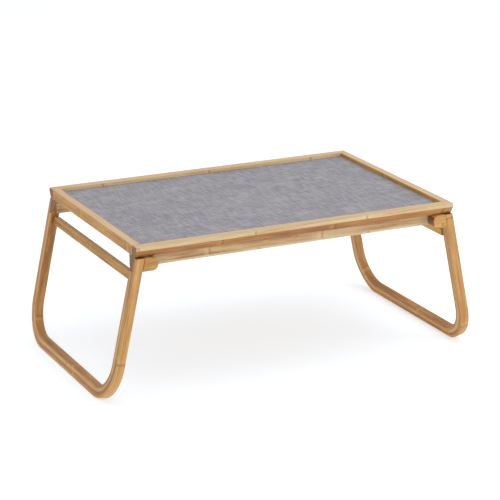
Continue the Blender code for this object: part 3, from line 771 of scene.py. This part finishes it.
for end, sy in ENDS:
    low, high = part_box(f"{end}_apron")
    step_x, step_z = INNER_HALF_LENGTH - GAP, SIDE_UNDERSIDE - GAP
    right = [(high.x, low.z), (high.x, step_z), (step_x, step_z), (step_x, high.z)]
    outline = right + [(-x, z) for x, z in reversed(right)]
    middle = (low.y + high.y) / 2
    apron = plank(f"bamboo_{end}_apron", outline, high.y - low.y,
                  Matrix.Translation((0, middle, 0)) @ ALONG_TRAY)
    ease_edges(apron, SLAT_ROUNDING)
    tools = []
    for corner, sx, corner_sy in CORNERS:
        if corner_sy == sy:
            inner_face = min(abs(low.y), abs(high.y))
            start = (sx * PIVOT.x, sy * (inner_face - GAP), PIVOT.z)
            tools.append(turned("drill", rod(BOLT + GAP, high.y - low.y + 2 * GAP, DRILL_EDGE),
                                along((0, sy, 0), start)))
            tools.append(drill_screw("apron_screw", corner, sy))
    cut(apron, *tools)
    wooden(apron, f"{end}_apron", straight(
        (APRON_GRAIN_START * sy, middle, (low.z + high.z) / 2), (1, 0, 0), (0, 1, 0)),
           BAMBOO[:2])
print("aprons run", round(high.x * 2 / MM), "mm")

# %% [markdown]
# ## The panel
# The laminate sheet and the board under it are flat and sit in the groove, so the packed
# solids already have the right shape. They stay, and only get their materials.

# %% Panel
for node, material in (("linen_top_sheet", LINEN), ("panel_board", FIBREBOARD)):
    frame["nodes"][node].data.materials.clear()
    frame["nodes"][node].data.materials.append(material)
print("panel shows", round(2 * INNER_HALF_LENGTH / MM), "x",
      round(2 * INNER_HALF_DEPTH / MM), "mm")

# %% [markdown]
# ## The bent leg frames
# Each frame is one bar, steamed or glued up in a mould, bent twice into a U. A mesh swept
# along that path keeps its rows of faces in line with the fibres, so the grain map can follow
# the bends. The tops are trimmed level with the rim, the floor bar is planed flat where it
# stands, and half of each leg's top is cut away to take the pivot block's tongue.

# %% Sweep a bar along the U
BEND_STEPS = 28
LEG_ROUNDING = 1.4 * MM
CENTRE_Y = FRAME_HALF_DEPTH - BEND_RADIUS
CENTRE_Z = BEND_RADIUS - LEG_LENGTH
MIDDLE_RADIUS = BEND_RADIUS - LEG_WIDTH / 2


def bar_section():
    """The bar's outline, with rounded corners: (outward, sideways) for each point."""
    points = []
    for corner, (a, b) in enumerate(((1, 1), (-1, 1), (-1, -1), (1, -1))):
        for step in range(6):
            turn = math.radians(90 * corner + 18 * step)
            points.append((a * (LEG_WIDTH / 2 - LEG_ROUNDING) + LEG_ROUNDING * math.cos(turn),
                           b * (LEG_THICKNESS / 2 - LEG_ROUNDING)
                           + LEG_ROUNDING * math.sin(turn)))
    return points


def u_path():
    """Stations along the middle of the bar: a point (y, z) and its outward direction."""
    over = 2 * LEG_THICKNESS
    quarter = []
    for step in range(BEND_STEPS + 1):
        turn = math.pi / 2 * step / BEND_STEPS
        out = (math.cos(turn), -math.sin(turn))
        quarter.append(((CENTRE_Y + MIDDLE_RADIUS * out[0], CENTRE_Z + MIDDLE_RADIUS * out[1]),
                        out))
    right = [((CENTRE_Y + MIDDLE_RADIUS, over), (1, 0))] + quarter
    left = [((-y, z), (-a, b)) for (y, z), (a, b) in reversed(right)]
    return right + left


def bent_bar(name, matrix):
    """The section swept along the path: a ring of points for each station."""
    shape = bmesh.new()
    section = bar_section()
    rings = [[shape.verts.new((b, y + a * out_y, z + a * out_z)) for a, b in section]
             for (y, z), (out_y, out_z) in u_path()]
    count = len(section)
    for near, far in zip(rings, rings[1:]):
        for i in range(count):
            j = (i + 1) % count
            shape.faces.new((near[i], near[j], far[j], far[i]))
    shape.faces.new(rings[0])
    shape.faces.new(rings[-1])
    return to_object(name, shape, matrix)


def bent_flow(matrix):
    """Fibres that follow the U, for a frame in its leaning space."""
    back = matrix.inverted()

    def flow(point):
        x, y, z = back @ point
        side = math.copysign(1, y)
        y = abs(y)
        if z > CENTRE_Z:
            run = CENTRE_Y + math.pi / 2 * MIDDLE_RADIUS + z - CENTRE_Z
            across, fibres = y - CENTRE_Y - MIDDLE_RADIUS, Vector((0, 0, 1))
        elif y < CENTRE_Y:
            run, across, fibres = y, CENTRE_Z - z - MIDDLE_RADIUS, Vector((0, 1, 0))
        else:
            turn = math.atan2(y - CENTRE_Y, CENTRE_Z - z)
            run = CENTRE_Y + turn * MIDDLE_RADIUS
            across = math.hypot(y - CENTRE_Y, z - CENTRE_Z) - MIDDLE_RADIUS
            fibres = Vector((0, side * math.cos(turn), math.sin(turn)))
        # the strips lie flat in the mould, so the layers are counted across the bend
        return (side * run, across + 0.5 * STRIP * MM, x), matrix.to_3x3() @ fibres
    return flow


print("one bar is", round(2 * (CENTRE_Y + math.pi / 2 * MIDDLE_RADIUS + LEG_LENGTH
                                 - BEND_RADIUS) / MM), "mm long")

# %% Leg frames
far = 2 * HALF_LENGTH
for side, sx in SIDES:
    space = leg_space(sx)
    legs = bent_bar(f"bent_{side}_leg_frame", space)
    tools = [block("trim", (-far, -far, LEG_TOP), (far, far, far)),
             block("trim", (-far, -far, -far), (far, far, 0))]
    for corner, corner_sx, sy in CORNERS:
        if corner_sx == sx:
            xs = sorted((sx * (LEG_CENTRE - 2 * LEG_THICKNESS),
                         sx * (LEG_CENTRE + 2 * LEG_THICKNESS)))
            ys = sorted((sy * (LEG_INNER - LEG_WIDTH), sy * (LAP_PLANE + GAP / 2)))
            tools.append(block("lap", (xs[0], ys[0], block_low.z - GAP), (xs[1], ys[1], far)))
            tools.append(drill_dowel("crossbar_dowel", corner, sy))
            tools.append(drill_screw("lap_screw", corner, sy))
    cut(legs, *tools)
    wooden(legs, f"{side}_leg_frame", bent_flow(space), BENT_BAMBOO)
    print(legs.name, "faces:", len(legs.data.polygons))

# %% [markdown]
# ## Crossbars
# A straight bar ties the two legs of a frame together just under the rim. It leans with them
# and stands a little proud of them on the inside.

# %% Crossbars
BAR_TOP = -29.5 * MM  # along the legs, from the rim
BAR_HEIGHT = 13.5 * MM
BAR_THICKNESS = 11 * MM
BAR_INSET = 4 * MM  # inboard of the middle of the legs
BAR_GRAIN_START = 0.05  # m off the middle

for side, sx in SIDES:
    space = leg_space(sx)
    half = LEG_INNER - GAP
    middle = -sx * BAR_INSET
    bar = block(f"bamboo_{side}_crossbar",
                (middle - BAR_THICKNESS / 2, -half, BAR_TOP - BAR_HEIGHT),
                (middle + BAR_THICKNESS / 2, half, BAR_TOP), space)
    ease_edges(bar, ARM_ROUNDING)
    cut(bar, *(drill_dowel("crossbar_dowel", corner, sy)
               for corner, corner_sx, sy in CORNERS if corner_sx == sx))
    wooden(bar, f"{side}_crossbar", straight(
        space @ Vector((middle, BAR_GRAIN_START * sx, BAR_TOP - BAR_HEIGHT / 2)), (0, 1, 0),
        space.to_3x3() @ Vector((1, 0, 0))), CARAMEL_BAMBOO)
print("crossbars are", round(2 * half / MM), "mm long")

# %% [markdown]
# ## Pivot blocks
# Each leg hangs from a short arm with a round end. The arm and the leg are half-lapped: the
# arm's inner half runs on behind the leg as a tongue, glued and screwed. The bolt turns in a
# brass insert inside the round end, so nothing shows from outside but wood.

# %% Pivot blocks
BLOCK_RADIUS = 9.5 * MM
LAP_CUT = (-70 * MM, 30 * MM)  # along the legs, from below the block to above the rim


def arc(centre_x, centre_z, radius, start, steps=16):
    """A quarter of a circle, from an angle in degrees."""
    turns = [math.radians(start + 90 * step / steps) for step in range(steps + 1)]
    return [(centre_x + radius * math.cos(t), centre_z + radius * math.sin(t)) for t in turns]


def leg_face(height):
    """How far out the leg's outboard face is at a height."""
    return LEG_CENTRE + (RIM_UNDERSIDE - height) * math.tan(LEG_LEAN) + SLANT / 2


for corner, sx, sy in CORNERS:
    low_z, high_z = block_low.z, block_high.z
    centre_x = block_low.x + BLOCK_RADIUS
    outline = [(leg_face(low_z), low_z), (leg_face(high_z), high_z)]
    outline += arc(centre_x, high_z - BLOCK_RADIUS, BLOCK_RADIUS, 90)
    outline += arc(centre_x, low_z + BLOCK_RADIUS, BLOCK_RADIUS, 180)
    outline = [(sx * x, z) for x, z in outline]
    middle = sy * (FRAME_HALF_DEPTH + LEG_INNER) / 2
    arm = plank(f"bamboo_pivot_block_{corner}", outline, LEG_WIDTH,
                Matrix.Translation((0, middle, 0)) @ ALONG_TRAY)
    ease_edges(arm, ARM_ROUNDING)
    xs = sorted((-sx * (LEG_THICKNESS / 2 + GAP), sx * 2 * LEG_THICKNESS))
    ys = sorted((sy * (LAP_PLANE - GAP / 2), sy * 2 * HALF_DEPTH))
    start = (sx * PIVOT.x, sy * (LEG_INNER - GAP), PIVOT.z)
    cut(arm, block("lap", (xs[0], ys[0], LAP_CUT[0]), (xs[1], ys[1], LAP_CUT[1]),
                   leg_space(sx)),
        turned("drill", rod(INSERT + GAP, LENGTHS["pivot_insert"] + 3 * GAP, DRILL_EDGE),
               along((0, sy, 0), start)),
        drill_screw("lap_screw", corner, sy))
    wooden(arm, f"pivot_block_{corner}", straight((sx * PIVOT.x, middle, PIVOT.z),
                                                  (1, 0, 0), (0, 0, 1)), BENT_BAMBOO)
print("wooden pieces made:", planks_made)

# %% [markdown]
# ## Dowels, screws and bolts
# Small parts are turned. Dowels have fine flutes that let the glue out. Wood screws have a
# cross recess, so a pair of wedges is cut from each head, and a thread whose ridges are rings
# in the profile: at this size nobody can tell them from a helix. The bolt has a low dome and a
# six-sided key. Threads are drawn at their real pitch, 1.4 mm in wood and 1 mm in metal.

# %% Profiles with a thread
SCREW_PITCH, SCREW_THREAD = 1.4 * MM, 0.5 * MM  # pitch, and depth of the thread
FLUTES = 0.05  # depth of a dowel's flutes, as a share of its radius


def threaded(radius, start, end, pitch, depth):
    """Ridges and valleys from one height to another."""
    points, height = [], start
    while height + pitch <= end:
        points += [(radius - depth, height), (radius, height + pitch * 0.45),
                   (radius, height + pitch * 0.55), (radius - depth, height + pitch)]
        height += pitch
    return points


def screw_profile(length):
    """Countersunk head, thread and point."""
    shank = SCREW - 0.1 * MM
    tip = length - 3 * SCREW
    return ([(0, 0), (SCREW_HEAD - 0.2 * MM, 0), (SCREW_HEAD, 0.2 * MM),
             (shank, 0.3 * MM + SCREW_HEAD - SCREW), (shank, 6 * MM)]
            + threaded(SCREW, 6.2 * MM, tip, SCREW_PITCH, SCREW_THREAD)
            + [(0.9 * MM, tip + 1.5 * MM), (0.5 * MM, length - 1 * MM), (0, length)])


def cross_recess(matrix):
    """The tool for a cross: two wedges that narrow as they go down."""
    tools = []
    for turn in (0, math.pi / 2):
        wedge = plank("wedge", [(-1.9 * MM, -GAP), (1.9 * MM, -GAP), (0.7 * MM, 2.1 * MM),
                                (-0.7 * MM, 2.1 * MM)], 0.9 * MM,
                      matrix @ Matrix.Rotation(turn, 4, "Z") @ Matrix.Rotation(
                          math.pi / 2, 4, "X"))
        tools.append(wedge)
    return tools


# %% Dowels and screws
for corner, sx, sy in CORNERS:
    for kind in ("corner_dowel", "crossbar_dowel"):
        pin = turned(f"beech_{kind}_{corner}", rod(DOWEL, LENGTHS[kind], 0.5 * MM),
                     place_of(kind, corner, sy), DOWEL_FACETS, FLUTES)
        finish_piece(pin, f"{kind}_{corner}", [BEECH], flat_angle=20)
    for kind in ("apron_screw", "lap_screw"):
        place = place_of(kind, corner, sy)
        screw = turned(f"steel_{kind}_{corner}", screw_profile(LENGTHS[kind]), place)
        cut(screw, *cross_recess(place))
        finish_piece(screw, f"{kind}_{corner}", [STEEL])
print("dowels and screws:", 4 * len(CORNERS))

# %% [markdown]
# ## Pivot hardware
# From the inside out: a button-head bolt, a plain washer, the apron, a nylon spacer that keeps
# wood from rubbing on wood, and the brass insert in the block.

# %% Bolts, inserts and washers
BOLT_HEAD, HEAD_HEIGHT, HEX = 5.5 * MM, 3.3 * MM, 2.1 * MM
BOLT_PITCH, BOLT_THREAD = 1 * MM, 0.5 * MM
INSERT_PITCH, INSERT_THREAD = 1.6 * MM, 0.7 * MM
SPACER_RADIUS, WASHER_RADIUS, WASHER_THICKNESS = 8.5 * MM, 7 * MM, 1 * MM
WASHER_FACETS = 64


def bolt_profile(length):
    """A low round dome, then the threaded shank."""
    shank, rim = BOLT - 0.1 * MM, 0.4 * MM
    turns = [math.pi / 2 * step / 8 for step in range(9)]
    dome = [(BOLT_HEAD * math.sin(t), -rim - (HEAD_HEIGHT - rim) * math.cos(t)) for t in turns]
    return (dome + [(BOLT_HEAD, -0.1 * MM), (BOLT_HEAD - 0.1 * MM, 0), (shank, 0),
                    (shank, 8 * MM)]
            + threaded(BOLT, 8.2 * MM, length - 1.2 * MM, BOLT_PITCH, BOLT_THREAD)
            + [(BOLT - 0.8 * MM, length), (0, length)])


def washer_profile(outer, thick, ease):
    """A flat ring with broken edges, as wide as asked round the bolt."""
    inner = BOLT + GAP
    return [(inner, 0.2 * ease), (inner + 0.2 * ease, 0), (outer - ease, 0),
            (outer - 0.3 * ease, 0.3 * ease), (outer, ease), (outer, thick - ease),
            (outer - 0.3 * ease, thick - 0.3 * ease), (outer - ease, thick),
            (inner + 0.2 * ease, thick), (inner, thick - 0.2 * ease)]


for corner, sx, sy in CORNERS:
    place = node_axis(f"pivot_bolt_{corner}", (0, sy, 0)) @ Matrix.Translation(
        (0, 0, HEAD_HEIGHT))
    bolt = turned(f"steel_pivot_bolt_{corner}",
                  bolt_profile(LENGTHS["pivot_bolt"] - HEAD_HEIGHT), place)
    key = turned("key", [(0, -2 * HEAD_HEIGHT), (HEX, -2 * HEAD_HEIGHT), (HEX, -1.5 * MM),
                         (0, -1.1 * MM)], place, 6)
    cut(bolt, key)
    finish_piece(bolt, f"pivot_bolt_{corner}", [STEEL])

    bore, length = BOLT + GAP, LENGTHS["pivot_insert"]
    profile = ([(bore, 0), (INSERT, 0), (INSERT, 1 * MM)]
               + threaded(INSERT, 1.2 * MM, length - 1.2 * MM, INSERT_PITCH, INSERT_THREAD)
               + [(INSERT - 0.6 * MM, length), (bore, length)])
    insert = turned(f"brass_pivot_insert_{corner}", profile,
                    node_axis(f"pivot_insert_{corner}", (0, sy, 0)))
    finish_piece(insert, f"pivot_insert_{corner}", [BRASS])

    for kind, name, outer, ease, finish in (
            ("spacer_washer", "nylon_spacer", SPACER_RADIUS, 0.3 * MM, NYLON),
            ("head_washer", "steel_washer", WASHER_RADIUS, 0.15 * MM, STEEL)):
        disc = turned(f"{name}_{corner}", washer_profile(outer, WASHER_THICKNESS, ease),
                      node_axis(f"{kind}_{corner}", (0, sy, 0)), WASHER_FACETS)
        finish_piece(disc, f"{kind}_{corner}", [finish])
print("pivots:", len(CORNERS))
